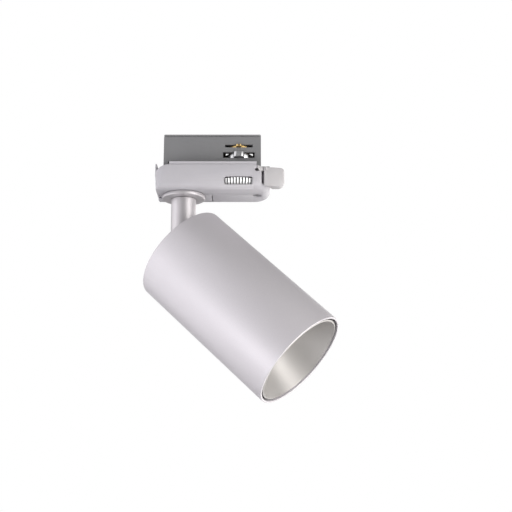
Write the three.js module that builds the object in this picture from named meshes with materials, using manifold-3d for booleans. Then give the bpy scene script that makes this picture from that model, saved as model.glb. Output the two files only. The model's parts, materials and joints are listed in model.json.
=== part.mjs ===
// Track spotlight: a plain cylindrical head on a short stem under a three-circuit track adapter.
// Millimetres, +Z up, X along the track. The origin is on the stem axis, at the plane where the adapter
// seats against the underside of the track.
import * as THREE from "three";
import { mergeVertices } from "three/addons/utils/BufferGeometryUtils.js";
import Module from "manifold-3d";

const wasm = await Module();
wasm.setup();

// Driving dimensions
const GAP = 0.3; // between separate pieces that touch on the real object

const TUBE_R = 31;
const TUBE_LENGTH = 100;
const TUBE_WALL = 1.2;
const TUBE_BORE_R = TUBE_R - TUBE_WALL;
const INNER_R = TUBE_BORE_R - GAP; // everything that slides into the tube

const PIVOT_Z = -51.2; // tilt pivot, on the plane of the tube's rear edge
const PAN = THREE.MathUtils.degToRad(-20.7); // turn of the stem and head, towards the front
const TILT = THREE.MathUtils.degToRad(47.5); // head raised from hanging straight down

const HOUSING_HALF_WIDTH = 17.2;
const HOUSING_DEPTH = 14.4;
const HOUSING_WALL = 1.6;
const HOUSING_FILLET = 4.5;
const HOUSING_LEFT = -16.8;
const HOUSING_RIGHT = 52.5;
const LEFT_CORNER_R = 8;
const RIGHT_CORNER_R = 10;
const LEFT_DRAFT = 0.9;
const RAIL_HALF_WIDTH = 16;
const STRIP_LEFT = -7.8;
const STRIP_RIGHT = 44.7;
const FAR_STRIP_RIGHT = 41;
const STRIP_HEIGHT = 2;
const STRIP_GROOVE_Y = 16.6; // bottom of the fine groove along each strip's foot
const LIP_TOP = 2.2;
const COVER = { left: -14.6, right: 17, front: -1, rear: 12.4 };
const COVER_SEAM = 0.5;
const COVER_BORE_R = 5.6;
const SIGHT_HOLE_R = 2.9;
const SIGHT_HOLE_X = 44.6;

const SPINDLE_X = 33.6; // common axis of the lock lever and the circuit selector
const WHEEL_R = 17.2;
const WHEEL_TOP = -8;
const WHEEL_BOTTOM = -11.8;
const WHEEL_WEB = { bottom: -10.6, top: -9.2, outer: 14.4 };
const WHEEL_RIBS = 58;
const WINDOW = { left: 25, right: 42.15, bottom: -12.3, top: -7.4 };

const LEVER_TOP = -0.3;
const LEVER_BOTTOM = -3.6;
const PADDLE_TOP = -1.4;
const PADDLE_BOTTOM = -13;
const PADDLE_INNER_R = 22.3;
const PADDLE_SLOT = { left: 47.3, right: 48.4, bottom: -11.4 };
const PEEP_HOLE = { x: 44.4, z: -3.1, radius: 1 }; // at the foot of the lever's arm
const PADDLE_RIGHT = 61;

const INSERT_HALF_WIDTH = 8.7;
const INSERT_WALL = 1.5;
const INSERT_LEFT = -12;
const INSERT_RIGHT = 47;
const INSERT_TOP = 20.5;
const FLANGE_RIGHT = 21.5;
const LUG_BOTTOM = 7.3;
const LUG_TOP = 10.3;
const LUG_REACH = 11.5;
const LUG_DISC_R = 8.6; // fills the tower between its lug windows
const CONTACT_DISC_R = 7.9;
const BLADE_BOTTOM = 14;
const BLADE_TOP = 15.2;
const BLADE_REACH = 10.6;
const SELECTOR_SHAFT_R = 2.5;

const STEM_R = 7.5;
const STEM_BORE_R = 5.5;
const NIPPLE_R = 4.9;
const DISC_R = 13;
const DISC_TOP = -HOUSING_DEPTH - GAP;
const DISC_BOTTOM = -16.9;
const CARRIER_BOTTOM = -12.5;
const CARRIER_TOP = -11;

// Depths along the head, measured from the tube's rear edge towards its mouth
const PLATE_DEPTH = 11;
const PLATE_THICK = 3;
const DRIVER_DEPTH = 15;
const SINK_DEPTH = 38;
const SINK_END = 62;
const REFLECTOR_DEPTH = 68;
const REFLECTOR_MOUTH = 99.2;
const REFLECTOR_MOUTH_R = 29.5;
const REFLECTOR_THROAT_R = 12;

const FINE = 64;
const ROUND = 28;
const SMALL = 16;
const REFLECTOR_SIDES = 40;

// Geometry helpers

// A three.js geometry as a solid: shared vertices merged, flat slivers dropped, faces pointing out.
function solid(geometry) {
  const bare = new THREE.BufferGeometry();
  bare.setAttribute("position", geometry.getAttribute("position"));
  bare.setIndex(geometry.index);
  const merged = mergeVertices(bare, 1e-3);
  const position = merged.getAttribute("position");
  const corner = [new THREE.Vector3(), new THREE.Vector3(), new THREE.Vector3()];
  const kept = [];
  let volume = 0;
  for (let i = 0; i < merged.index.count; i += 3) {
    const abc = [0, 1, 2].map((k) => merged.index.getX(i + k));
    if (abc[0] === abc[1] || abc[1] === abc[2] || abc[2] === abc[0]) continue;
    abc.forEach((v, k) => corner[k].fromBufferAttribute(position, v));
    volume += corner[0].dot(corner[1].clone().cross(corner[2]));
    kept.push(abc);
  }
  const triVerts = new Uint32Array(kept.flatMap(([a, b, c]) => (volume < 0 ? [a, c, b] : [a, b, c])));
  const vertProperties = new Float32Array(position.array);
  return new wasm.Manifold(new wasm.Mesh({ numProp: 3, vertProperties, triVerts }));
}

function join(...solids) {
  return solids.reduce((all, next) => all.add(next));
}

function cut(body, ...tools) {
  return tools.reduce((left, tool) => left.subtract(tool), body);
}

// Solid of revolution about Z from [radius, z] points.
function turned(points, segments = ROUND, x = 0, y = 0) {
  const profile = points.map(([r, z]) => new THREE.Vector2(r, z));
  const lathe = new THREE.LatheGeometry(profile, segments).rotateX(Math.PI / 2);
  return solid(lathe.translate(x, y, 0));
}

function rod(r, z0, z1, x = 0, y = 0, segments = SMALL) {
  return turned([[0, z0], [r, z0], [r, z1], [0, z1]], segments, x, y);
}

function ring(inner, outer, z0, z1, x = 0, y = 0, segments = ROUND) {
  const section = [[inner, z0], [outer, z0], [outer, z1], [inner, z1], [inner, z0]];
  return turned(section, segments, x, y);
}

// A rod along Y.
function crossRod(r, y0, y1, x = 0, z = 0, segments = SMALL) {
  const cylinder = new THREE.CylinderGeometry(r, r, y1 - y0, segments);
  return solid(cylinder.translate(x, (y0 + y1) / 2, z));
}

function block(x0, x1, y0, y1, z0, z1) {
  const box = new THREE.BoxGeometry(x1 - x0, y1 - y0, z1 - z0);
  return solid(box.translate((x0 + x1) / 2, (y0 + y1) / 2, (z0 + z1) / 2));
}

// An XY outline raised from z0 to z1.
function raised(outline, z0, z1, curveSegments = 12) {
  const options = { depth: z1 - z0, bevelEnabled: false, curveSegments };
  return solid(new THREE.ExtrudeGeometry(outline, options).translate(0, 0, z0));
}

// An outline drawn in X and Z, thickened from y0 to y1.
function sideways(outline, y0, y1, curveSegments = 12) {
  const options = { depth: y1 - y0, bevelEnabled: false, curveSegments };
  const flat = new THREE.ExtrudeGeometry(outline, options);
  return solid(flat.rotateX(Math.PI / 2).translate(0, y1, 0));
}

function polygon(points) {
  return new THREE.Shape(points.map(([x, y]) => new THREE.Vector2(x, y)));
}

// A rectangle with its own radius at each corner: left bottom, right bottom, right top, left top.
function roundedRect(x0, x1, y0, y1, radii) {
  const [a, b, c, d] = radii;
  const s = new THREE.Shape();
  s.moveTo(x0 + a, y0).lineTo(x1 - b, y0);
  if (b) s.absarc(x1 - b, y0 + b, b, -Math.PI / 2, 0);
  s.lineTo(x1, y1 - c);
  if (c) s.absarc(x1 - c, y1 - c, c, 0, Math.PI / 2);
  s.lineTo(x0 + d, y1);
  if (d) s.absarc(x0 + d, y1 - d, d, Math.PI / 2, Math.PI);
  s.lineTo(x0, y0 + a);
  if (a) s.absarc(x0 + a, y0 + a, a, Math.PI, 1.5 * Math.PI);
  return s;
}

// A ring sector about the spindle axis, between two angles in degrees.
function sector(inner, outer, from, to, z0, z1) {
  const [a, b] = [from, to].map(THREE.MathUtils.degToRad);
  const s = new THREE.Shape();
  s.absarc(0, 0, outer, a, b, false);
  s.absarc(0, 0, inner, b, a, true);
  return raised(s, z0, z1, 16).translate([SPINDLE_X, 0, 0]);
}

function mesh(name, body, finish) {
  const { vertProperties, triVerts, numProp } = body.getMesh();
  const geometry = new THREE.BufferGeometry();
  const places = new Float32Array((vertProperties.length / numProp) * 3);
  for (let i = 0; i < places.length / 3; i++) {
    places.set(vertProperties.subarray(i * numProp, i * numProp + 3), i * 3);
  }
  geometry.setAttribute("position", new THREE.BufferAttribute(places, 3));
  geometry.setIndex(new THREE.BufferAttribute(triVerts, 1));
  geometry.computeVertexNormals();
  const made = new THREE.Mesh(geometry, finish);
  made.name = name;
  return made;
}

// Finishes
function finish(color, roughness, metalness) {
  return new THREE.MeshStandardMaterial({ color, roughness, metalness });
}

const SILVER_PAINT = finish(0xb9b7bb, 0.55, 0.35);
const GREY_PLASTIC = finish(0xbcbabf, 0.6, 0);
const INSERT_PLASTIC = finish(0x6e6f73, 0.6, 0);
const WHITE_PLASTIC = finish(0xe4e2e0, 0.5, 0);
const DARK_PLASTIC = finish(0x2a2a2c, 0.6, 0);
const STEEL = finish(0x9a9ba0, 0.35, 1);
const BRASS = finish(0xb9913c, 0.35, 1);
const ALUMINIUM = finish(0x9fa1a4, 0.45, 1);
const REFLECTOR_FINISH = finish(0xc9c6c2, 0.35, 0.7);
const CIRCUIT_BOARD = finish(0xe9ebe6, 0.5, 0);
const PHOSPHOR = finish(0xe6c93a, 0.5, 0);
const CLEAR = finish(0xffffff, 0.1, 0);

// Adapter housing

// The housing's outer form, shrunk by inset on every side and open upwards.
function housingForm(inset, top) {
  const half = HOUSING_HALF_WIDTH - inset;
  const bottom = -HOUSING_DEPTH + inset;
  const fillet = HOUSING_FILLET - inset;
  const left = HOUSING_LEFT + inset;
  const right = HOUSING_RIGHT - inset;
  const leftR = LEFT_CORNER_R - inset;
  const rightR = RIGHT_CORNER_R - inset;
  const plan = roundedRect(left, right, -half, half, [leftR, rightR, rightR, leftR]);
  const along = new THREE.ExtrudeGeometry(
    roundedRect(-half, half, bottom, top, [fillet, fillet, 0, 0]),
    { depth: right - rightR - left, bevelEnabled: false, curveSegments: 4 },
  );
  // The section is drawn in X and Y, so it is stood up and turned to run along X.
  along.rotateX(Math.PI / 2).rotateZ(Math.PI / 2);
  const bar = solid(along.translate(left, 0, 0));
  return join(bar, ...roundEnd(half, right, rightR, bottom, top, fillet)).intersect(
    raised(plan, bottom - 1, top + 1, 9),
  );
}

// The right end: two filleted corner posts, with filleted bars between and beside them.
function roundEnd(half, right, cornerR, bottom, top, fillet) {
  const profile = [[0, bottom], [cornerR - fillet, bottom]];
  const steps = 4;
  for (let i = 1; i <= steps; i++) {
    const a = (i / steps) * (Math.PI / 2);
    profile.push([
      cornerR - fillet + fillet * Math.sin(a),
      bottom + fillet - fillet * Math.cos(a),
    ]);
  }
  profile.push([cornerR, top], [0, top]);
  const x = right - cornerR;
  const y = half - cornerR;
  const posts = [-y, y].map((side) => turned(profile, ROUND, x, side));
  const endSection = roundedRect(x - cornerR, right, bottom, top, [0, fillet, 0, 0]);
  return [...posts, sideways(endSection, -y, y, 4)];
}

// What is cut off the left top corners of the long walls.
function leftShoulder() {
  const s = new THREE.Shape();
  s.moveTo(STRIP_LEFT, 0);
  s.bezierCurveTo(-11, -0.1, -14.5, -1.2, HOUSING_LEFT, -3.4);
  s.lineTo(-22, -3.4).lineTo(-22, 6).lineTo(STRIP_LEFT, 6);
  return sideways(s, -20, 20);
}

function strip(side, right) {
  const outer = HOUSING_HALF_WIDTH - 0.3;
  const inner = RAIL_HALF_WIDTH + 0.1;
  const [y0, y1] = side < 0 ? [-outer, -inner] : [inner, outer];
  return block(STRIP_LEFT, right, y0, y1, -4, STRIP_HEIGHT);
}

function windowCutter() {
  const { left, right, bottom, top } = WINDOW;
  return sideways(roundedRect(left, right, bottom, top, [1.4, 1.4, 1.4, 1.4]), -20, 20);
}

// The selector wheel's outline in the vertical plane, grown by a clearance.
function wheelProfile(clear) {
  const r = WHEEL_R + clear;
  const bottom = WHEEL_BOTTOM - clear;
  const top = WHEEL_TOP + clear;
  return [[0, bottom], [r - 0.9, bottom], [r, bottom + 1.8], [r, top], [0, top]];
}

function adapterHousing() {
  const outer = housingForm(0, 0);
  const inner = housingForm(HOUSING_WALL, 4);
  const draft = sideways(polygon([[HOUSING_LEFT, 0], [-18, 0], [-18, -15],
    [HOUSING_LEFT + LEFT_DRAFT, -15]]), -20, 20);
  // A guard rib closes the view through the paddle's slot into the hollow shell.
  const guard = block(46.5, 49.6, -12.6, -11.8, -HOUSING_DEPTH + 1, LEVER_BOTTOM - GAP);
  const walls = join(cut(outer, inner), guard, strip(-1, STRIP_RIGHT), strip(1, FAR_STRIP_RIGHT));
  const lip = block(-18, HOUSING_LEFT + 1, -11.5, 11.5, -5, LIP_TOP).intersect(housingForm(0, 4));
  const shaped = join(cut(walls, leftShoulder(), draft), lip);
  const leverSweep = sector(10, 40, -57.5, 66, LEVER_BOTTOM - GAP, 6);
  const pocket = turned(wheelProfile(GAP), ROUND, SPINDLE_X, 0);
  const { left, right, front, rear } = COVER;
  const coverOpening = block(left - GAP, right + COVER_SEAM, front - GAP, rear + GAP, -16, -12);
  const stemBore = rod(COVER_BORE_R, -16, -12, 0, 0, ROUND);
  const sightHole = rod(SIGHT_HOLE_R, -16, -12, SIGHT_HOLE_X, 0, 24);
  const peepHole = crossRod(PEEP_HOLE.radius, -18, -15, PEEP_HOLE.x, PEEP_HOLE.z);
  const paddleSlot = block(PADDLE_SLOT.left, PADDLE_SLOT.right, -18, -12.7, PADDLE_SLOT.bottom, LEVER_BOTTOM);
  const grooves = [[-18, -STRIP_GROOVE_Y], [STRIP_GROOVE_Y, 18]].map(([y0, y1]) =>
    block(-20, HOUSING_RIGHT, y0, y1, 0, 0.5));
  return cut(shaped, leverSweep, pocket, windowCutter(), coverOpening, stemBore,
    sightHole, peepHole, paddleSlot, ...grooves);
}

function bottomCover() {
  const { left, right, front, rear } = COVER;
  const plate = raised(roundedRect(left, right, front, rear, [0.5, 0.5, 0.5, 0.5]), -14.2, -12.9, 4);
  const tab = raised(roundedRect(-15.9, -12.8, 3.4, 9.4, [1.4, 0.4, 0.4, 1.4]), -15.3, -14.7, 4);
  const root = block(-14.4, -12.8, 3.6, 9.2, -14.9, -13.6);
  return cut(join(plate, tab, root), rod(COVER_BORE_R, -16, -12, 0, 0, ROUND));
}

// The steel plate that carries the stem, with the stop that ends its turn.
function carrierPlate() {
  const plate = raised(roundedRect(-13, 15, -11.5, 11.5, [2, 2, 2, 2]), CARRIER_BOTTOM, CARRIER_TOP, 4);
  const stopAt = PAN + Math.PI;
  const stop = rod(0.9, CARRIER_TOP - 0.5, -8.4, 10.2 * Math.cos(stopAt), 10.2 * Math.sin(stopAt), 12);
  const holes = screwPlaces().map(([x, y]) => rod(1.5, -14, -10, x, y, 16));
  const sinkProfile = [[0, -13], [2.8, -13], [1.4, -11.4], [0, -11.4]];
  const sinks = screwPlaces().map(([x, y]) => turned(sinkProfile, 16, x, y));
  return cut(join(plate, stop), rod(5.3, -14, -10, 0, 0, ROUND), ...holes, ...sinks);
}

function screwPlaces() {
  return [[-11, -9.5], [-11, 9.5], [12.8, -9.5], [12.8, 9.5]];
}

function carrierScrew([x, y]) {
  return turned([[0, -12.4], [2.1, -12.4], [1.1, -11.3], [1.1, -4.4], [0, -4.4]], 16, x, y);
}

// Insert: the part of the adapter that enters the track

function insertBody() {
  const flange = raised(roundedRect(-14.2, FLANGE_RIGHT, -15, 15, [6, 0.5, 0.5, 6]), -2.6, 0, 6);
  const y = INSERT_HALF_WIDTH;
  const tower = block(INSERT_LEFT, INSERT_RIGHT, -y, y, -0.1, INSERT_TOP);
  const tongue = block(FLANGE_RIGHT - 2, HOUSING_RIGHT - 0.2, -y, y, 0, INSERT_WALL);
  const y1 = y - INSERT_WALL;
  const left = INSERT_LEFT + INSERT_WALL;
  const hollow = block(left, INSERT_RIGHT - INSERT_WALL, -y1, y1, INSERT_WALL, 30);
  const below = block(left, FLANGE_RIGHT - 2, -y1, y1, -4, 4);
  const underLever = block(FLANGE_RIGHT, 60, -20, 20, -4, 0);
  const pillars = screwPlaces().map(([px, py]) => rod(2.4, CARRIER_TOP + GAP, -1, px, py, 20));
  const pilots = screwPlaces().map(([px, py]) => rod(1.4, -14, -4.1, px, py, 16));
  const spindleBore = rod(4.8, -1, 3, SPINDLE_X, 0, ROUND);
  const lugWindow = block(SPINDLE_X - 9.6, SPINDLE_X + 9.6, -12, 12, LUG_BOTTOM - GAP, LUG_TOP + GAP);
  const bladeWindow = block(SPINDLE_X - 8.4, SPINDLE_X + 8.4, -12, 12,
    BLADE_BOTTOM - GAP, BLADE_TOP + GAP);
  const slots = [neutralSlot(), earthSlot(-1), earthSlot(1)];
  return cut(join(flange, tower, tongue, ...pillars), hollow, below, underLever, spindleBore,
    lugWindow, bladeWindow, ...pilots, ...slots);
}

function insertCover() {
  const y = INSERT_HALF_WIDTH;
  const lid = raised(roundedRect(INSERT_LEFT, INSERT_RIGHT, -y, y, [1, 1, 1, 1]),
    INSERT_TOP + GAP, INSERT_TOP + 1.5, 4);
  const rib = block(INSERT_LEFT + 4, INSERT_RIGHT - 30, -1.2, 1.2, INSERT_TOP + 1, INSERT_TOP + 2.8);
  return join(lid, rib);
}

const NEUTRAL = { left: 3, right: 13, z: 11, reach: 10.3 };
const EARTH = { left: -9, right: -1, z: 3.6, reach: 10 };
const LEAF = 0.8; // thickness of the contact springs

function neutralSlot() {
  return block(NEUTRAL.left - GAP, NEUTRAL.right + GAP, 6, 12, NEUTRAL.z - GAP, NEUTRAL.z + LEAF + GAP);
}

function earthSlot(side) {
  const [y0, y1] = side < 0 ? [-12, -6] : [6, 12];
  return block(EARTH.left - GAP, EARTH.right + GAP, y0, y1, EARTH.z - GAP, EARTH.z + LEAF + GAP);
}

// A sprung contact leaf, its nose rounded in plan.
function contactLeaf({ left, right, z, reach }, side) {
  const nose = (right - left) / 4;
  const [low, high] = side < 0 ? [-reach, -5.5] : [5.5, reach];
  const radii = side < 0 ? [nose, nose, 0, 0] : [0, 0, nose, nose];
  return raised(roundedRect(left, right, low, high, radii), z, z + LEAF, 5);
}

function terminalBlock() {
  const body = block(-6, 8, -5, 5, 12.6, 19);
  const entries = [-3.2, 0, 3.2].map((y) => block(-8, -2, y - 1, y + 1, 14, 16));
  const screws = [-3.2, 0, 3.2].map((y) => rod(1.1, 17, 21, 4, y, 12));
  return cut(body, ...entries, ...screws);
}

// Lock lever and what turns with it

function lockLever() {
  const hub = rod(9, LEVER_BOTTOM, LEVER_TOP, SPINDLE_X, 0, ROUND);
  const arm = sector(1, 26, -56.4, -27, LEVER_BOTTOM, LEVER_TOP);
  const planLimit = raised(roundedRect(-20, HOUSING_RIGHT + 0.1, -17.3, 17.3, [1, 10, 10, 1]), -5, 2, 16);
  const link = sector(18, 23.5, -46, -27, LEVER_BOTTOM, LEVER_TOP);
  const slope = sideways(polygon([[44.6, LEVER_TOP + 0.1], [48.4, PADDLE_TOP], [70, PADDLE_TOP],
    [70, 2], [44.6, 2]]), -30, 0);
  const body = join(hub, arm.intersect(planLimit), link, paddle());
  const notch = crossRod(PEEP_HOLE.radius + GAP, -18, -13.5, PEEP_HOLE.x, PEEP_HOLE.z);
  return cut(body, slope, notch, rod(SELECTOR_SHAFT_R + 0.4, -6, 2, SPINDLE_X, 0));
}

// The finger paddle: a plate that follows the housing's round corner on its inner side.
function paddle() {
  const plan = new THREE.Shape();
  plan.moveTo(46, -16.2);
  plan.lineTo(49.4, -16.2);
  plan.quadraticCurveTo(55, -15.6, PADDLE_RIGHT - 1.8, -14.2);
  plan.quadraticCurveTo(PADDLE_RIGHT, -13.8, PADDLE_RIGHT, -12.2);
  plan.lineTo(PADDLE_RIGHT, -10.6);
  plan.quadraticCurveTo(PADDLE_RIGHT, -9.2, PADDLE_RIGHT - 1.6, -9.2);
  plan.lineTo(46, -9.2);
  const face = roundedRect(46, PADDLE_RIGHT, PADDLE_BOTTOM, PADDLE_TOP, [0, 3.5, 2, 0]);
  const clear = rod(PADDLE_INNER_R, -20, 5, SPINDLE_X, 0, FINE);
  return cut(raised(plan, -14, 0, 8).intersect(sideways(face, -20, 0, 6)), clear);
}

function lockShaft() {
  return ring(SELECTOR_SHAFT_R + 0.5, 4.5, LEVER_TOP + GAP - 0.1, LUG_BOTTOM - GAP, SPINDLE_X);
}

function lockingLugs() {
  const wings = raised(roundedRect(SPINDLE_X - 3.2, SPINDLE_X + 3.2, -LUG_REACH, LUG_REACH,
    [2, 2, 2, 2]), LUG_BOTTOM, LUG_TOP, 5);
  const disc = rod(LUG_DISC_R, LUG_BOTTOM, LUG_TOP, SPINDLE_X, 0, ROUND);
  return cut(join(wings, disc), rod(SELECTOR_SHAFT_R + 0.5, 5, 12, SPINDLE_X, 0));
}

// Circuit selector

function selectorWheel() {
  const outline = [];
  const pitch = (2 * Math.PI) / WHEEL_RIBS;
  const groove = WHEEL_R - 1.4;
  for (let i = 0; i < WHEEL_RIBS; i++) {
    for (const [turn, r] of [[0, WHEEL_R], [0.5, WHEEL_R], [0.55, groove], [0.95, groove]]) {
      const a = (i + turn) * pitch;
      outline.push([SPINDLE_X + r * Math.cos(a), r * Math.sin(a)]);
    }
  }
  const ribs = raised(polygon(outline), WHEEL_BOTTOM, WHEEL_TOP);
  const envelope = turned(wheelProfile(0), WHEEL_RIBS, SPINDLE_X, 0);
  const { bottom, top, outer } = WHEEL_WEB;
  const topDish = ring(5, outer, top, -7, SPINDLE_X, 0);
  const underDish = ring(5, outer, -13, bottom, SPINDLE_X, 0);
  return cut(ribs.intersect(envelope), topDish, underDish);
}

function selectorShaft() {
  return rod(SELECTOR_SHAFT_R, WHEEL_TOP + GAP, BLADE_BOTTOM - GAP, SPINDLE_X, 0);
}

function phaseContact() {
  const disc = rod(CONTACT_DISC_R, BLADE_BOTTOM, BLADE_TOP, SPINDLE_X, 0, ROUND);
  const blade = raised(roundedRect(SPINDLE_X - 1.6, SPINDLE_X + 1.6, -BLADE_REACH, 0, [1, 1, 0, 0]),
    BLADE_BOTTOM, BLADE_TOP, 5);
  return join(disc, blade);
}

// Stem: drawn straight, then turned by PAN as a group

function mountingDisc() {
  const edge = 0.5;
  return turned([[NIPPLE_R + GAP, DISC_TOP], [NIPPLE_R + GAP, DISC_BOTTOM], [DISC_R - edge, DISC_BOTTOM],
    [DISC_R, DISC_BOTTOM + edge], [DISC_R, DISC_TOP], [NIPPLE_R + GAP, DISC_TOP]], 48);
}

const KNUCKLE_SHOULDER = PIVOT_Z + 9.2;

function stemTube() {
  return ring(STEM_BORE_R, STEM_R, KNUCKLE_SHOULDER + GAP, DISC_BOTTOM - GAP, 0, 0, ROUND);
}

function stemNipple() {
  return ring(3.2, NIPPLE_R, -30, -4.2, 0, 0, 32);
}

function stopWasher() {
  const tab = block(7, 11.2, -0.8, 0.8, -9.6, -8.8);
  return cut(join(rod(8.6, -9.6, -8.8, 0, 0, ROUND), tab), rod(NIPPLE_R + GAP, -12, -6, 0, 0, 32));
}

function hexNut(acrossFlats, bore, z0, z1) {
  const nut = rod(acrossFlats / Math.sqrt(3), z0, z1, 0, 0, 6);
  const top = z1 - 0.9;
  const crown = turned([[0, z0], [acrossFlats, z0], [acrossFlats, top], [acrossFlats / 2, z1], [0, z1]], 32);
  return cut(nut.intersect(crown), rod(bore, z0 - 1, z1 + 1, 0, 0, 32));
}

const TONGUE_HALF = 3.3;

// The stem's lower end, with the tongue that the head tilts on.
function tiltKnuckle() {
  const z = PIVOT_Z;
  const collar = rod(STEM_R, z + 7.5, KNUCKLE_SHOULDER, 0, 0, ROUND);
  const spigot = rod(STEM_BORE_R - GAP, KNUCKLE_SHOULDER - 0.5, z + 18, 0, 0, 32);
  const s = new THREE.Shape();
  s.moveTo(-6, z + 8).lineTo(-6, z);
  s.absarc(0, z, 6, Math.PI, 2 * Math.PI, false);
  s.lineTo(6, z + 8);
  const tongue = sideways(s, -TONGUE_HALF, TONGUE_HALF, 12);
  return cut(join(collar, spigot, tongue), crossRod(2.8, -9, 9, 0, z));
}

function stemLead() {
  return rod(2.2, PIVOT_Z + 18.3, 8, 0, 0, 16);
}

// Head: drawn hanging from the origin with its mouth down, then tilted as a group.
// A depth d along the head is at z = -d.

function headTube() {
  const rim = 0.35;
  return turned([[TUBE_BORE_R, 0], [TUBE_R - rim, 0], [TUBE_R, -rim], [TUBE_R, -TUBE_LENGTH + rim],
    [TUBE_R - rim, -TUBE_LENGTH], [TUBE_BORE_R, -TUBE_LENGTH], [TUBE_BORE_R, 0]], FINE);
}

const GROMMET_X = -18;
const BRACKET_SCREW_X = 13;

function rearPlate() {
  const plate = rod(INNER_R, -PLATE_DEPTH - PLATE_THICK, -PLATE_DEPTH, 0, 0, 48);
  const holes = [-BRACKET_SCREW_X, BRACKET_SCREW_X].map((x) => rod(1.8, -20, -5, x, 0, 16));
  return cut(plate, ...holes, rod(2.8, -20, -5, GROMMET_X, 0));
}

const EAR_INNER = 4.3;
const EAR_OUTER = 7.3;

function pivotBracket() {
  const base = raised(roundedRect(-17, 17, -EAR_OUTER, EAR_OUTER, [3, 3, 3, 3]), -10.7, -8.4, 6);
  const s = new THREE.Shape();
  s.moveTo(-6.5, -9).lineTo(-6.5, 0);
  s.absarc(0, 0, 6.5, Math.PI, 0, true);
  s.lineTo(6.5, -9);
  const ears = [sideways(s, -EAR_OUTER, -EAR_INNER, 12), sideways(s, EAR_INNER, EAR_OUTER, 12)];
  const holes = [-BRACKET_SCREW_X, BRACKET_SCREW_X].map((x) => rod(1.8, -12, -7, x, 0, 16));
  const wireNotch = rod(3.6, -12, -7, GROMMET_X, 0);
  return cut(join(base, ...ears), crossRod(2.8, -10, 10), ...holes, wireNotch);
}

function pivotBolt() {
  const head = crossRod(4.4, -10.4, -7.6);
  const socket = crossRod(1.8, -12, -9, 0, 0, 6);
  return cut(join(crossRod(2.5, -8, 11.5), head), socket);
}

function pivotNut() {
  const nut = solid(new THREE.CylinderGeometry(4.9, 4.9, 3.4, 6).translate(0, 9.3, 0));
  return cut(nut, crossRod(2.8, 7, 12));
}

function pivotWasher(side) {
  const [y0, y1] = side < 0 ? [-4.1, -3.5] : [3.5, 4.1];
  return cut(crossRod(6, y0, y1, 0, 0, 32), crossRod(2.8, y0 - 1, y1 + 1));
}

function bracketScrew(x) {
  return turned([[0, -6.3], [1.2, -6.3], [2.6, -7], [2.6, -8.1], [1.5, -8.1], [1.5, -13.6], [0, -13.6]],
    20, x, 0);
}

// A grommet seated in the rear plate's wire hole.
function cableGrommet() {
  const near = -PLATE_DEPTH + GAP;
  const far = -PLATE_DEPTH - PLATE_THICK - GAP;
  return turned([[1.6, near + 1], [3, near + 1], [3.5, near], [2.5, near], [2.5, far], [1.6, far],
    [1.6, near + 1]], SMALL, GROMMET_X, 0);
}

function headLead() {
  return rod(1.3, -14.8, -6.5, GROMMET_X, 0, 12);
}

function driverModule() {
  const body = raised(roundedRect(-15.5, 15.5, -13, 13, [2, 2, 2, 2]), -36, -DRIVER_DEPTH, 4);
  const labelRecess = block(-10, 10, -14, -12.6, -31, -20);
  return cut(body, labelRecess);
}

function postPlaces() {
  return [90, 210, 330].map(THREE.MathUtils.degToRad).map((a) => [24 * Math.cos(a), 24 * Math.sin(a)]);
}

function chassisPost([x, y]) {
  return rod(2, -SINK_DEPTH + GAP, -PLATE_DEPTH - PLATE_THICK - GAP, x, y, 16);
}

function heatSink() {
  const base = rod(INNER_R, -SINK_END, -SINK_END + 4, 0, 0, ROUND);
  const fins = [];
  for (let i = -4; i <= 4; i++) {
    fins.push(block(i * 6 - 0.8, i * 6 + 0.8, -30, 30, -SINK_END + 3, -SINK_DEPTH));
  }
  return join(base, join(...fins).intersect(rod(28, -80, 0, 0, 0, ROUND)));
}

function ledBoard() {
  return raised(roundedRect(-9.5, 9.5, -9.5, 9.5, [1, 1, 1, 1]), -SINK_END - 1.8, -SINK_END - GAP, 4);
}

function ledEmitter() {
  const back = -SINK_END - 2.1;
  return turned([[0, back], [5.5, back], [5.5, back - 0.5], [4.6, back - 1], [2.6, back - 1.4],
    [0, back - 1.6]], SMALL);
}

function ledHolder() {
  const back = -SINK_END - 2.1;
  const body = ring(7.2, 19, back - 2.4, back, 0, 0, ROUND);
  const holes = [-15, 15].map((x) => rod(1.6, back - 5, back + 1, x, 0, 16));
  return cut(body, ...holes);
}

function holderScrew(x) {
  const face = -SINK_END - 4.8;
  return turned([[0, face - 1.2], [1.6, face - 1.2], [2.5, face - 0.6], [2.5, face], [1.3, face],
    [1.3, -SINK_END - GAP], [0, -SINK_END - GAP]], 16, x, 0);
}

// The reflector: a thin shell on a gently bowed curve from the throat to the mouth.
function reflector() {
  const steps = 4;
  const wall = 0.9;
  const inner = [];
  for (let i = 0; i <= steps; i++) {
    const t = i / steps;
    const r = REFLECTOR_THROAT_R + (REFLECTOR_MOUTH_R - wall - REFLECTOR_THROAT_R) * Math.pow(t, 0.8);
    inner.push([r, -REFLECTOR_DEPTH - (REFLECTOR_MOUTH - REFLECTOR_DEPTH) * t]);
  }
  const outer = inner.map(([r, z]) => [r + wall, z]).reverse();
  return turned([...inner, ...outer, inner[0]], REFLECTOR_SIDES);
}

function emitterGlass() {
  return rod(REFLECTOR_THROAT_R - GAP, -REFLECTOR_DEPTH - 1.2, -REFLECTOR_DEPTH, 0, 0, ROUND);
}

// Assembly

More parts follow.
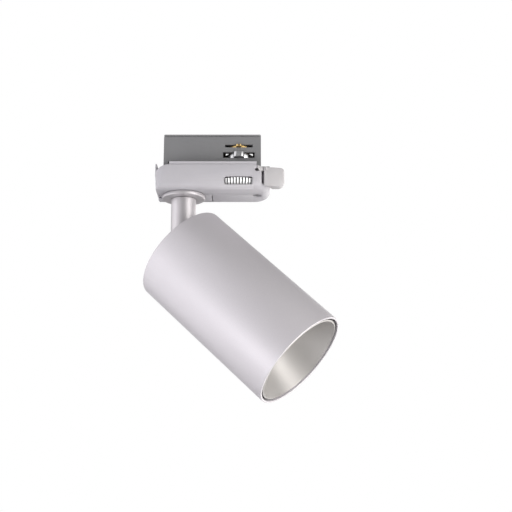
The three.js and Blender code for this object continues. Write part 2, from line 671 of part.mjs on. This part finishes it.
const adapter = new THREE.Group();
adapter.add(
  mesh("adapter_housing", adapterHousing(), GREY_PLASTIC),
  mesh("bottom_cover", bottomCover(), GREY_PLASTIC),
  mesh("carrier_plate", carrierPlate(), STEEL),
  mesh("insert_body", insertBody(), INSERT_PLASTIC),
  mesh("insert_cover", insertCover(), INSERT_PLASTIC),
  mesh("neutral_contact", contactLeaf(NEUTRAL, 1), BRASS),
  mesh("earth_contact_front", contactLeaf(EARTH, -1), STEEL),
  mesh("earth_contact_rear", contactLeaf(EARTH, 1), STEEL),
  mesh("terminal_block", terminalBlock(), WHITE_PLASTIC),
  mesh("lock_lever", lockLever(), GREY_PLASTIC),
  mesh("lock_shaft", lockShaft(), GREY_PLASTIC),
  mesh("locking_lugs", lockingLugs(), STEEL),
  mesh("selector_wheel", selectorWheel(), WHITE_PLASTIC),
  mesh("selector_shaft", selectorShaft(), WHITE_PLASTIC),
  mesh("phase_contact", phaseContact(), BRASS),
);
screwPlaces().forEach((place, i) => {
  adapter.add(mesh(`carrier_screw_${i + 1}`, carrierScrew(place), STEEL));
});

const stem = new THREE.Group();
stem.rotation.z = PAN;
stem.add(
  mesh("mounting_disc", mountingDisc(), SILVER_PAINT),
  mesh("stem_tube", stemTube(), SILVER_PAINT),
  mesh("stem_nipple", stemNipple(), STEEL),
  mesh("friction_washer", ring(5.4, 9, -10.7, -9.9), STEEL),
  mesh("stop_washer", stopWasher(), STEEL),
  mesh("stem_nut", hexNut(15, NIPPLE_R + GAP, -8.5, -5), STEEL),
  mesh("tilt_knuckle", tiltKnuckle(), SILVER_PAINT),
  mesh("stem_lead", stemLead(), DARK_PLASTIC),
);

const head = new THREE.Group();
head.position.z = PIVOT_Z;
head.rotation.y = -TILT;
head.add(
  mesh("head_tube", headTube(), SILVER_PAINT),
  mesh("rear_plate", rearPlate(), SILVER_PAINT),
  mesh("pivot_bracket", pivotBracket(), STEEL),
  mesh("pivot_bolt", pivotBolt(), STEEL),
  mesh("pivot_nut", pivotNut(), STEEL),
  mesh("pivot_washer_front", pivotWasher(-1), STEEL),
  mesh("pivot_washer_rear", pivotWasher(1), STEEL),
  mesh("bracket_screw_1", bracketScrew(-BRACKET_SCREW_X), STEEL),
  mesh("bracket_screw_2", bracketScrew(BRACKET_SCREW_X), STEEL),
  mesh("cable_grommet", cableGrommet(), DARK_PLASTIC),
  mesh("head_lead", headLead(), DARK_PLASTIC),
  mesh("driver_module", driverModule(), WHITE_PLASTIC),
  mesh("heat_sink", heatSink(), ALUMINIUM),
  mesh("led_board", ledBoard(), CIRCUIT_BOARD),
  mesh("led_emitter", ledEmitter(), PHOSPHOR),
  mesh("led_holder", ledHolder(), WHITE_PLASTIC),
  mesh("holder_screw_1", holderScrew(-15), STEEL),
  mesh("holder_screw_2", holderScrew(15), STEEL),
  mesh("reflector", reflector(), REFLECTOR_FINISH),
  mesh("emitter_glass", emitterGlass(), CLEAR),
);
postPlaces().forEach((place, i) => {
  head.add(mesh(`chassis_post_${i + 1}`, chassisPost(place), STEEL));
});
stem.add(head);

const spotlight = new THREE.Group();
spotlight.add(adapter, stem);

export default spotlight;
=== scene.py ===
"""Track spotlight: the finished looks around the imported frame.

A plain cylindrical head, matt silver, tilts on a short stem under a grey plastic track adapter.
Everything is in metres, in the frame's own axes: X along the track, Z up.
"""

import json
import math

import bmesh
import bpy
from mathutils import Matrix, Vector

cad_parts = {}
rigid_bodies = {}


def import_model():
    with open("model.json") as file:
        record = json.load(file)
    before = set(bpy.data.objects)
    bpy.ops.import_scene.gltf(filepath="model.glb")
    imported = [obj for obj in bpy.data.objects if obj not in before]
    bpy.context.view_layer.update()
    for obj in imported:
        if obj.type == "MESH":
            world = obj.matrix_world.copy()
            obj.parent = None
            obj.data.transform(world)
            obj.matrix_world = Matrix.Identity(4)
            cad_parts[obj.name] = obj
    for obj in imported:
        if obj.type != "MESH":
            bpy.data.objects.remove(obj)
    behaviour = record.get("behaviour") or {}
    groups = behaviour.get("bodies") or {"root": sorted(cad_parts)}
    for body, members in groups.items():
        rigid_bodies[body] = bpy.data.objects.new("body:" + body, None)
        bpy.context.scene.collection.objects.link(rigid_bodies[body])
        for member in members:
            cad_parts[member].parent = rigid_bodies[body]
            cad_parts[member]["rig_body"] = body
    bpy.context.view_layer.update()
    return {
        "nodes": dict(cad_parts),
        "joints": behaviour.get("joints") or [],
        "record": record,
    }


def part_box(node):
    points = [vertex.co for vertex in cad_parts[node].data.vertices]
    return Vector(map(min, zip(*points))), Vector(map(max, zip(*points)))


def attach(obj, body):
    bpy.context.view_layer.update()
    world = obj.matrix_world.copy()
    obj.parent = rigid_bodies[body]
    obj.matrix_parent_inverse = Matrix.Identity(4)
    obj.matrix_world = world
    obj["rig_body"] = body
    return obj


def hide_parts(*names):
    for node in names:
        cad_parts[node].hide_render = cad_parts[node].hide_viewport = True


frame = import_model()

MM = 0.001
JOINTS = {joint["name"]: joint for joint in frame["joints"]}
SLOTS = {row["node"]: row["material_slot"] for row in frame["record"]["subparts"]}


# ------------------------------------------------------------------ camera

CAMERA_PLACE = (0.0440, -0.5872, -0.1931)
CAMERA_PITCH = math.radians(13.5)
CAMERA_LENS = 70.66
SENSOR_WIDTH = 36
NEAREST_SEEN = 10 * MM


def set_camera():
    """Looks along +Y and a little upwards."""
    bpy.ops.object.camera_add(location=CAMERA_PLACE, rotation=(math.pi / 2 + CAMERA_PITCH, 0, 0))
    camera = bpy.context.object
    camera.name = "view_camera"
    camera.data.lens = CAMERA_LENS
    camera.data.sensor_width = SENSOR_WIDTH
    camera.data.clip_start = NEAREST_SEEN
    bpy.context.scene.camera = camera


set_camera()


# ------------------------------------------------------------------ the head's own axes

TILT = JOINTS["head_tilt"]
PIVOT = Vector(TILT["pos_m"])
HINGE = Vector(TILT["axis"]).normalized()
RAISED = math.radians(-TILT["range_deg"][0])    # from hanging straight down to rest
PANNED = math.atan2(HINGE.x, -HINGE.y)

# The head is modelled hanging from the origin, its mouth at the bottom, then put in its rest place.
HEAD_PLACE = (Matrix.Translation(PIVOT) @ Matrix.Rotation(PANNED, 4, "Z")
              @ Matrix.Rotation(-RAISED, 4, "Y"))


# ------------------------------------------------------------------ bench tools

HEIGHT_SLACK = 0.001 * MM
RADIUS_SLACK = 0.02 * MM
MERGE_DISTANCE = 0.002 * MM
FLAT_ANGLE = math.radians(0.6)      # facets within this of each other become one face
SHARP_ANGLE = math.radians(35)      # edges beyond this are broken
SMOOTH_DEGREES = 32
SIDE_CORNERS = 4


def pick_up(piece):
    """Makes the piece the only one selected, and active."""
    bpy.ops.object.select_all(action="DESELECT")
    piece.select_set(True)
    bpy.context.view_layer.objects.active = piece


def called(name):
    """Names the piece just made, and its mesh."""
    piece = bpy.context.object
    piece.name = name
    piece.data.name = name
    return piece


def open_up(piece, kind):
    """Starts editing the piece's corners, edges or faces, with none selected."""
    pick_up(piece)
    bpy.ops.object.mode_set(mode="EDIT")
    bpy.ops.mesh.select_mode(type=kind)
    bpy.ops.mesh.select_all(action="DESELECT")


def close_up():
    bpy.ops.object.mode_set(mode="OBJECT")


def face_outwards():
    bpy.ops.mesh.select_all(action="SELECT")
    bpy.ops.mesh.normals_make_consistent(inside=False)


def choose(piece, kind, test):
    """Opens the piece and selects its faces or edges that pass the test."""
    open_up(piece, kind)
    mesh = bmesh.from_edit_mesh(piece.data)
    for part in mesh.faces if kind == "FACE" else mesh.edges:
        part.select_set(test(part))
    bmesh.update_edit_mesh(piece.data)


def on_circle(z, radius):
    """The test for edges of the circle of that radius about the Z axis, at that height."""
    def test(edge):
        ends = [corner.co for corner in edge.verts]
        return all(abs(end.z - z) < HEIGHT_SLACK
                   and abs(math.hypot(end.x, end.y) - radius) < RADIUS_SLACK for end in ends)
    return test


def round_rim(piece, z, radius, size, segments=3):
    """Bevels the edges of one circle of the piece."""
    choose(piece, "EDGE", on_circle(z, radius))
    bpy.ops.mesh.bevel(offset=size, segments=segments, affect="EDGES", clamp_overlap=True)
    close_up()


def modify(piece, kind, **settings):
    """Adds a modifier with those settings and applies it."""
    pick_up(piece)
    modifier = piece.modifiers.new(kind.lower(), kind)
    for key, value in settings.items():
        setattr(modifier, key, value)
    bpy.ops.object.modifier_apply(modifier=modifier.name)


def settle(piece, place):
    """Turns the piece to its rest place and applies that to its mesh."""
    pick_up(piece)
    piece.matrix_world = place @ piece.matrix_world
    bpy.ops.object.transform_apply(location=True, rotation=True, scale=True)


def fit(piece, node, material, degrees=SMOOTH_DEGREES):
    """Gives a finished piece its material and puts it in place of a CAD node, on its body."""
    pick_up(piece)
    bpy.ops.object.shade_smooth_by_angle(angle=math.radians(degrees))
    piece.data.materials.clear()
    piece.data.materials.append(material)
    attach(piece, frame["nodes"][node]["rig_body"])
    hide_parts(node)


def cylinder(name, radius, low, high, sides):
    """A closed cylinder about the Z axis."""
    bpy.ops.mesh.primitive_cylinder_add(vertices=sides, radius=radius, depth=high - low,
                                        location=(0, 0, (low + high) / 2))
    piece = called(name)
    bpy.ops.object.transform_apply(location=True, rotation=False, scale=False)
    return piece


def hollow(piece, wall):
    """Opens a cylinder into a tube: its ends are inset, their middles removed, the rims bridged."""
    choose(piece, "FACE", lambda face: len(face.verts) > SIDE_CORNERS)
    bpy.ops.mesh.inset(thickness=wall, depth=0)
    bpy.ops.mesh.delete(type="FACE")
    bpy.ops.mesh.select_mode(type="EDGE")
    bpy.ops.mesh.select_non_manifold()
    bpy.ops.mesh.bridge_edge_loops()
    face_outwards()
    close_up()


def refined(node, name, edge):
    """A finer copy of a CAD piece: facets merged into whole faces and its sharp edges broken."""
    piece = bpy.data.objects.new(name, frame["nodes"][node].data.copy())
    bpy.context.scene.collection.objects.link(piece)
    pick_up(piece)
    bpy.ops.mesh.customdata_custom_splitnormals_clear()
    open_up(piece, "VERT")
    bpy.ops.mesh.select_all(action="SELECT")
    bpy.ops.mesh.remove_doubles(threshold=MERGE_DISTANCE)
    bpy.ops.mesh.dissolve_limited(angle_limit=FLAT_ANGLE)
    close_up()
    modify(piece, "BEVEL", width=edge, segments=2, limit_method="ANGLE",
           angle_limit=SHARP_ANGLE, use_clamp_overlap=True, harden_normals=False)
    return piece


def refine_all(rows):
    """Each row holds a node, its finer piece's name and material, and its broken edge in mm."""
    for node, name, material, edge in rows:
        fit(refined(node, name, edge * MM), node, material)


# ------------------------------------------------------------------ materials

# Nearly all of a noise texture's values lie between these two.
NOISE_LOW, NOISE_HIGH = 0.3, 0.7


class Finish:
    """A procedural material on object coordinates, built up from a principled shader."""

    def __init__(self, name, color, roughness, metallic=0.0, **sockets):
        self.material = bpy.data.materials.new(name)
        self.material.use_nodes = True
        self.nodes = self.material.node_tree.nodes
        self.links = self.material.node_tree.links
        self.shader = self.nodes["Principled BSDF"]
        self.place = self.nodes.new("ShaderNodeTexCoord").outputs["Object"]
        self.color = color
        self.normal = None
        self.shader.inputs["Base Color"].default_value = (*color, 1)
        self.shader.inputs["Roughness"].default_value = roughness
        self.shader.inputs["Metallic"].default_value = metallic
        for key, value in sockets.items():
            self.shader.inputs[key.replace("_", " ")].default_value = value

    def noise(self, scale, detail=3, stretch=(1, 1, 1), roughness=0.5):
        spread = self.nodes.new("ShaderNodeMapping")
        spread.inputs["Scale"].default_value = stretch
        grain = self.nodes.new("ShaderNodeTexNoise")
        grain.inputs["Scale"].default_value = scale
        grain.inputs["Detail"].default_value = detail
        grain.inputs["Roughness"].default_value = roughness
        self.links.new(self.place, spread.inputs["Vector"])
        self.links.new(spread.outputs["Vector"], grain.inputs["Vector"])
        return grain.outputs["Fac"]

    def span(self, value, low, high, start=NOISE_LOW, end=NOISE_HIGH):
        """Brings values between start and end to between low and high."""
        ramp = self.nodes.new("ShaderNodeMapRange")
        ramp.inputs["From Min"].default_value = start
        ramp.inputs["From Max"].default_value = end
        ramp.inputs["To Min"].default_value = low
        ramp.inputs["To Max"].default_value = high
        self.links.new(value, ramp.inputs["Value"])
        return ramp.outputs["Result"]

    def vary_roughness(self, value, low, high):
        self.links.new(self.span(value, low, high), self.shader.inputs["Roughness"])

    def vary_color(self, value, share):
        """Lightens and darkens the colour by that share."""
        mix = self.nodes.new("ShaderNodeMix")
        mix.data_type = "RGBA"
        dark = [c * (1 - share) for c in self.color]
        light = [min(1, c * (1 + share)) for c in self.color]
        mix.inputs["A"].default_value = (*dark, 1)
        mix.inputs["B"].default_value = (*light, 1)
        self.links.new(self.span(value, 0, 1), mix.inputs["Factor"])
        self.links.new(mix.outputs["Result"], self.shader.inputs["Base Color"])

    def bump(self, value, height, strength):
        """Adds a layer of relief over those already there."""
        step = self.nodes.new("ShaderNodeBump")
        step.inputs["Distance"].default_value = height
        step.inputs["Strength"].default_value = strength
        self.links.new(value, step.inputs["Height"])
        if self.normal:
            self.links.new(self.normal, step.inputs["Normal"])
        self.normal = step.outputs["Normal"]
        self.links.new(self.normal, self.shader.inputs["Normal"])


def silver_coat():
    """Matt silver powder coat: fine pearly grain over a very slight orange peel."""
    f = Finish("silver_coat", (0.51, 0.488, 0.513), roughness=0.52, metallic=0.46)
    f.vary_color(f.noise(scale=5200, detail=2), share=0.05)
    f.vary_roughness(f.noise(scale=1500, detail=2), low=0.48, high=0.56)
    f.bump(f.noise(scale=900, detail=2), height=0.02 * MM, strength=0.5)
    f.bump(f.noise(scale=4800, detail=2), height=0.01 * MM, strength=0.7)
    return f.material


def satin_silver_painted_shade():
    """The smoother, more metallic silver of the stem and its disc; its darker colour is partly
    painted shade, for the disc's shaded underside.
    """
    # darker base colour than the tube's silver: partly painted shade
    f = Finish("satin_silver_painted_shade", (0.46, 0.44, 0.455), roughness=0.45, metallic=0.6)
    f.vary_color(f.noise(scale=3600, detail=2), share=0.04)
    f.vary_roughness(f.noise(scale=1200, detail=2), low=0.41, high=0.49)
    f.bump(f.noise(scale=2600, detail=2), height=0.008 * MM, strength=0.5)
    return f.material


def moulded_finish(name, color, roughness, grain=0.012 * MM):
    """Moulded plastic with a spark-eroded surface, of one even colour."""
    f = Finish(name, color, roughness)
    f.vary_roughness(f.noise(scale=1200), low=roughness - 0.05, high=roughness + 0.06)
    f.bump(f.noise(scale=3000, detail=4, roughness=0.65), height=grain, strength=0.8)
    return f


def moulded(*settings):
    f = moulded_finish(*settings)
    f.vary_color(f.noise(scale=260), share=0.012)
    return f.material


def ribbed_white_painted_shade(axis_x, groove_r, crest_r):
    """White plastic with painted shade down in the grooves, darker by the distance from the wheel's
    upright axis.
    """
    f = moulded_finish("ribbed_white_painted_shade", (0.82, 0.81, 0.79), 0.45)
    centred = f.nodes.new("ShaderNodeMapping")
    centred.inputs["Location"].default_value = (-axis_x, 0, 0)
    centred.inputs["Scale"].default_value = (1, 1, 0)
    reach = f.nodes.new("ShaderNodeVectorMath")
    reach.operation = "LENGTH"
    f.links.new(f.place, centred.inputs["Vector"])
    f.links.new(centred.outputs["Vector"], reach.inputs[0])
    # painted shade: the colour darkens towards the groove radius, where shade falls between the
    # ribs
    depth = f.span(reach.outputs["Value"], NOISE_LOW, NOISE_HIGH, start=groove_r, end=crest_r)
    f.vary_color(depth, share=0.85)
    return f.material


def drawn_metal(name, color, roughness, stretch):
    """Plain metal with the faint lines of drawing or turning, which run across the stretch."""
    f = Finish(name, color, roughness, metallic=1.0)
    f.vary_color(f.noise(scale=420), share=0.05)
    f.vary_roughness(f.noise(scale=900, stretch=stretch),
                     low=roughness - 0.07, high=roughness + 0.1)
    f.bump(f.noise(scale=2400, detail=2, stretch=stretch), height=0.008 * MM, strength=0.6)
    return f.material


def satin_reflector():
    """Satin anodised aluminium, finely frosted."""
    f = Finish("satin_reflector", (0.41, 0.394, 0.385), roughness=0.43, metallic=0.68)
    f.vary_roughness(f.noise(scale=2600, detail=2), low=0.42, high=0.48)
    f.bump(f.noise(scale=5200, detail=2), height=0.006 * MM, strength=0.6)
    return f.material


def lamp_glass():
    f = Finish("lamp_glass", (0.93, 0.95, 0.96), roughness=0.12, Transmission_Weight=0.9, IOR=1.5)
    f.vary_roughness(f.noise(scale=1800, detail=2), low=0.1, high=0.2)
    return f.material


def phosphor_gel():
    f = Finish("phosphor_gel", (0.80, 0.58, 0.10), roughness=0.35)
    f.vary_color(f.noise(scale=2200), share=0.08)
    f.bump(f.noise(scale=1500, detail=2), height=0.02 * MM, strength=0.5)
    return f.material


WHEEL_X = JOINTS["selector_turn"]["pos_m"][0]
WHEEL_GROOVE_R = 15.8 * MM
WHEEL_CREST_R = 17.0 * MM
CABLE_GRAIN = 0.03 * MM

SILVER = silver_coat()
STEM_SILVER_PAINTED_SHADE = satin_silver_painted_shade()
GREY_SHELL = moulded("grey_shell", (0.38, 0.368, 0.392), 0.52)
LEVER_GREY = moulded("lever_grey", (0.39, 0.376, 0.385), 0.48)
INSERT_GREY = moulded("insert_grey", (0.16, 0.16, 0.165), 0.5)
WHITE_SHELL = moulded("white_shell", (0.80, 0.79, 0.77), 0.45)
# the wheel's white plastic, with painted shade in its grooves
RIBBED_WHITE_PAINTED_SHADE = ribbed_white_painted_shade(WHEEL_X, WHEEL_GROOVE_R, WHEEL_CREST_R)
BLACK_SHEATH = moulded("black_sheath", (0.02, 0.02, 0.022), 0.55, CABLE_GRAIN)
ZINC = drawn_metal("zinc_plate", (0.56, 0.56, 0.57), 0.32, stretch=(1, 1, 1))
BRASS_STRIP = drawn_metal("brass_strip", (0.72, 0.50, 0.20), 0.28, stretch=(10, 1, 1))
BARE_ALUMINIUM = drawn_metal("bare_aluminium", (0.70, 0.71, 0.72), 0.38, stretch=(1, 1, 14))
BOARD_WHITE = moulded("board_white", (0.78, 0.79, 0.77), 0.4)
FROSTED = satin_reflector()
GLASS = lamp_glass()
PHOSPHOR = phosphor_gel()


# ------------------------------------------------------------------ head

TUBE_R = 31 * MM
TUBE_WALL = 1.2 * MM
TUBE_LENGTH = 100 * MM
TUBE_SIDES = 256
TUBE_RIM = 0.3 * MM

REFLECTOR_MOUTH = 99.2 * MM
REFLECTOR_DEPTH = 31.2 * MM
REFLECTOR_MOUTH_R = 28.6 * MM
REFLECTOR_THROAT_R = 12.0 * MM
REFLECTOR_WALL = 0.85 * MM
REFLECTOR_SIDES = 192
REFLECTOR_RINGS = 28
REFLECTOR_BOW = 0.8
REFLECTOR_SMOOTH_DEGREES = 40


def tube_shell():
    """The head's tube, with all four rims rounded over."""
    piece = cylinder("tube_shell", TUBE_R, -TUBE_LENGTH, 0, TUBE_SIDES)
    hollow(piece, TUBE_WALL)
    for z in (0, -TUBE_LENGTH):
        for radius in (TUBE_R, TUBE_R - TUBE_WALL):
            round_rim(piece, z, radius, TUBE_RIM, segments=4)
    settle(piece, HEAD_PLACE)
    fit(piece, "head_tube", SILVER)


def reflector_cone():
    """A ring at the mouth is drawn back and in, ring by ring, along the reflector's bowed curve."""
    bpy.ops.mesh.primitive_circle_add(vertices=REFLECTOR_SIDES, radius=REFLECTOR_MOUTH_R,
                                      fill_type="NOTHING", location=(0, 0, -REFLECTOR_MOUTH))
    piece = called("reflector_cone")
    bpy.ops.object.transform_apply(location=True, rotation=False, scale=False)
    open_up(piece, "EDGE")
    bpy.ops.mesh.select_all(action="SELECT")
    step = (0, 0, REFLECTOR_DEPTH / REFLECTOR_RINGS)
    radius = REFLECTOR_MOUTH_R
    for ring in range(1, REFLECTOR_RINGS + 1):
        share = (1 - ring / REFLECTOR_RINGS) ** REFLECTOR_BOW
        wanted = REFLECTOR_THROAT_R + (REFLECTOR_MOUTH_R - REFLECTOR_THROAT_R) * share
        bpy.ops.mesh.extrude_edges_move(TRANSFORM_OT_translate={"value": step})
        bpy.ops.transform.resize(value=(wanted / radius, wanted / radius, 1))
        radius = wanted
    face_outwards()
    close_up()
    modify(piece, "SOLIDIFY", thickness=REFLECTOR_WALL, offset=1, use_even_offset=True)
    settle(piece, HEAD_PLACE)
    fit(piece, "reflector", FROSTED, REFLECTOR_SMOOTH_DEGREES)


tube_shell()
reflector_cone()
refine_all((
    ("rear_plate", "rear_disc", SILVER, 0.3),
    ("pivot_bracket", "tilt_bracket", ZINC, 0.25),
    ("pivot_bolt", "tilt_bolt", ZINC, 0.25),
    ("pivot_nut", "tilt_nut", ZINC, 0.3),
    ("bracket_screw_1", "bracket_screw_1_head", ZINC, 0.12),
    ("bracket_screw_2", "bracket_screw_2_head", ZINC, 0.12),
    ("cable_grommet", "wire_grommet", BLACK_SHEATH, 0.15),
    ("emitter_glass", "lamp_window", GLASS, 0.2),
))


# ------------------------------------------------------------------ stem

STEM_R = 7.5 * MM
STEM_WALL = 2 * MM
STEM_SIDES = 96
STEM_RIM = 0.2 * MM

DISC_R = 13 * MM
DISC_BREADTH = 7.8 * MM     # from its rim in to its bore
DISC_SIDES = 160
DISC_LOWER_RIM = 0.6 * MM
DISC_UPPER_RIM = 0.2 * MM


def stem_pipe():
    low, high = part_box("stem_tube")
    piece = cylinder("stem_pipe", STEM_R, low.z, high.z, STEM_SIDES)
    hollow(piece, STEM_WALL)
    round_rim(piece, low.z, STEM_R, STEM_RIM)
    fit(piece, "stem_tube", STEM_SILVER_PAINTED_SHADE)


def stem_disc():
    """The disc above the stem, its lower rim rounded over more than its upper one."""
    low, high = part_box("mounting_disc")
    piece = cylinder("stem_disc", DISC_R, low.z, high.z, DISC_SIDES)
    hollow(piece, DISC_BREADTH)
    round_rim(piece, low.z, DISC_R, DISC_LOWER_RIM, segments=5)
    round_rim(piece, high.z, DISC_R, DISC_UPPER_RIM)
    fit(piece, "mounting_disc", STEM_SILVER_PAINTED_SHADE)


stem_pipe()
stem_disc()
refine_all((
    ("tilt_knuckle", "stem_knuckle", STEM_SILVER_PAINTED_SHADE, 0.3),
))


# ------------------------------------------------------------------ adapter

refine_all((
    ("adapter_housing", "adapter_shell", GREY_SHELL, 0.18),
    ("bottom_cover", "adapter_base_cover", GREY_SHELL, 0.2),
    ("lock_lever", "finger_lever", LEVER_GREY, 0.45),
    ("insert_body", "track_insert", INSERT_GREY, 0.2),
    ("insert_cover", "track_insert_lid", INSERT_GREY, 0.3),
    ("selector_wheel", "thumb_wheel", RIBBED_WHITE_PAINTED_SHADE, 0.12),
    ("locking_lugs", "lug_bar", ZINC, 0.25),
))


# ------------------------------------------------------------------ the CAD pieces' materials

SLOT_MATERIALS = {
    "grey_plastic": GREY_SHELL, "insert_plastic": INSERT_GREY, "white_plastic": WHITE_SHELL,
    "dark_rubber": BLACK_SHEATH, "contact_brass": BRASS_STRIP, "zinc_steel": ZINC,
    "silver_paint": SILVER, "raw_aluminium": BARE_ALUMINIUM, "board_white": BOARD_WHITE,
    "phosphor": PHOSPHOR, "reflector_satin": FROSTED, "clear_glass": GLASS,
}


def dress_nodes():
    """Gives every CAD piece its slot's material, though finished pieces replace some of them."""
    for node, slot in SLOTS.items():
        materials = frame["nodes"][node].data.materials
        materials.clear()
        materials.append(SLOT_MATERIALS[slot])


dress_nodes()


# ------------------------------------------------------------------ studio

STUDIO_MIDDLE = Vector((0.04, -0.01, -0.07))
COOL = (0.985, 0.98, 1.0)
WARM = (1.0, 0.99, 0.965)
WIDE, NARROW = 1.8, 0.7
SOFT_BOXES = {
    # name: direction from the object, side, watts, colour
    "left": ((-1, 0.1, 0), WIDE, 14, COOL),
    "left_high": ((-0.75, -0.45, 0.5), WIDE, 10, COOL),
    "left_key": ((-0.9, -0.75, -0.55), NARROW, 7, COOL),
    "right_low": ((0.75, -0.45, -0.5), WIDE, 30, WARM),
    "right_high": ((0.75, -0.45, 0.5), WIDE, 5, WARM),
    "right_rear": ((0.7, 0.7, -0.1), WIDE, 18, WARM),
    "right_key": ((0.8, -0.6, 0.1), NARROW, 7, WARM),
}
BOX_DISTANCE = 1.35

WHITE = (1, 1, 1, 1)
ROOM_SEEN = 1.0
ROOM_LIGHT = 0.22

FLOOR_SIZE = 12
FLOOR_Z = -1.1
FLOOR_GLOW = (0.66, 0.66, 0.66, 1)


def soft_box(name, direction, side, watts, color):
    """A square soft box that faces the object."""
    direction = Vector(direction).normalized()
    bpy.ops.object.light_add(type="AREA", location=STUDIO_MIDDLE + direction * BOX_DISTANCE)
    lamp = bpy.context.object
    lamp.name = name + "_box"
    lamp.data.shape = "SQUARE"
    lamp.data.size = side
    lamp.data.energy = watts
    lamp.data.color = color
    lamp.rotation_euler = (-direction).to_track_quat("-Z", "Y").to_euler()


def pale_room():
    """A room that looks white, and gives much less light than that to what stands in it."""
    world = bpy.data.worlds.new("pale_room")
    bpy.context.scene.world = world
    world.use_nodes = True
    nodes, links = world.node_tree.nodes, world.node_tree.links
    seen = nodes["Background"]
    cast = nodes.new("ShaderNodeBackground")
    for shader, strength in ((seen, ROOM_SEEN), (cast, ROOM_LIGHT)):
        shader.inputs["Color"].default_value = WHITE
        shader.inputs["Strength"].default_value = strength
    path = nodes.new("ShaderNodeLightPath")
    mix = nodes.new("ShaderNodeMixShader")
    links.new(path.outputs["Is Camera Ray"], mix.inputs["Fac"])
    links.new(cast.outputs["Background"], mix.inputs[1])
    links.new(seen.outputs["Background"], mix.inputs[2])
    links.new(mix.outputs["Shader"], nodes["World Output"].inputs["Surface"])


def pale_floor():
    """A wide floor that glows for the camera only: it sends up only the light that falls on it."""
    bpy.ops.mesh.primitive_plane_add(size=FLOOR_SIZE, location=(0, 0, FLOOR_Z))
    floor = called("pale_floor")
    paint = Finish("floor_paint", (0.8, 0.8, 0.8), roughness=0.7)
    paint.vary_roughness(paint.noise(scale=6, detail=2), low=0.65, high=0.8)
    paint.shader.inputs["Emission Color"].default_value = FLOOR_GLOW
    path = paint.nodes.new("ShaderNodeLightPath")
    paint.links.new(path.outputs["Is Camera Ray"], paint.shader.inputs["Emission Strength"])
    floor.data.materials.append(paint.material)


def studio():
    pale_room()
    for name, settings in SOFT_BOXES.items():
        soft_box(name, *settings)
    pale_floor()
    bpy.context.scene.view_settings.view_transform = "Standard"


studio()
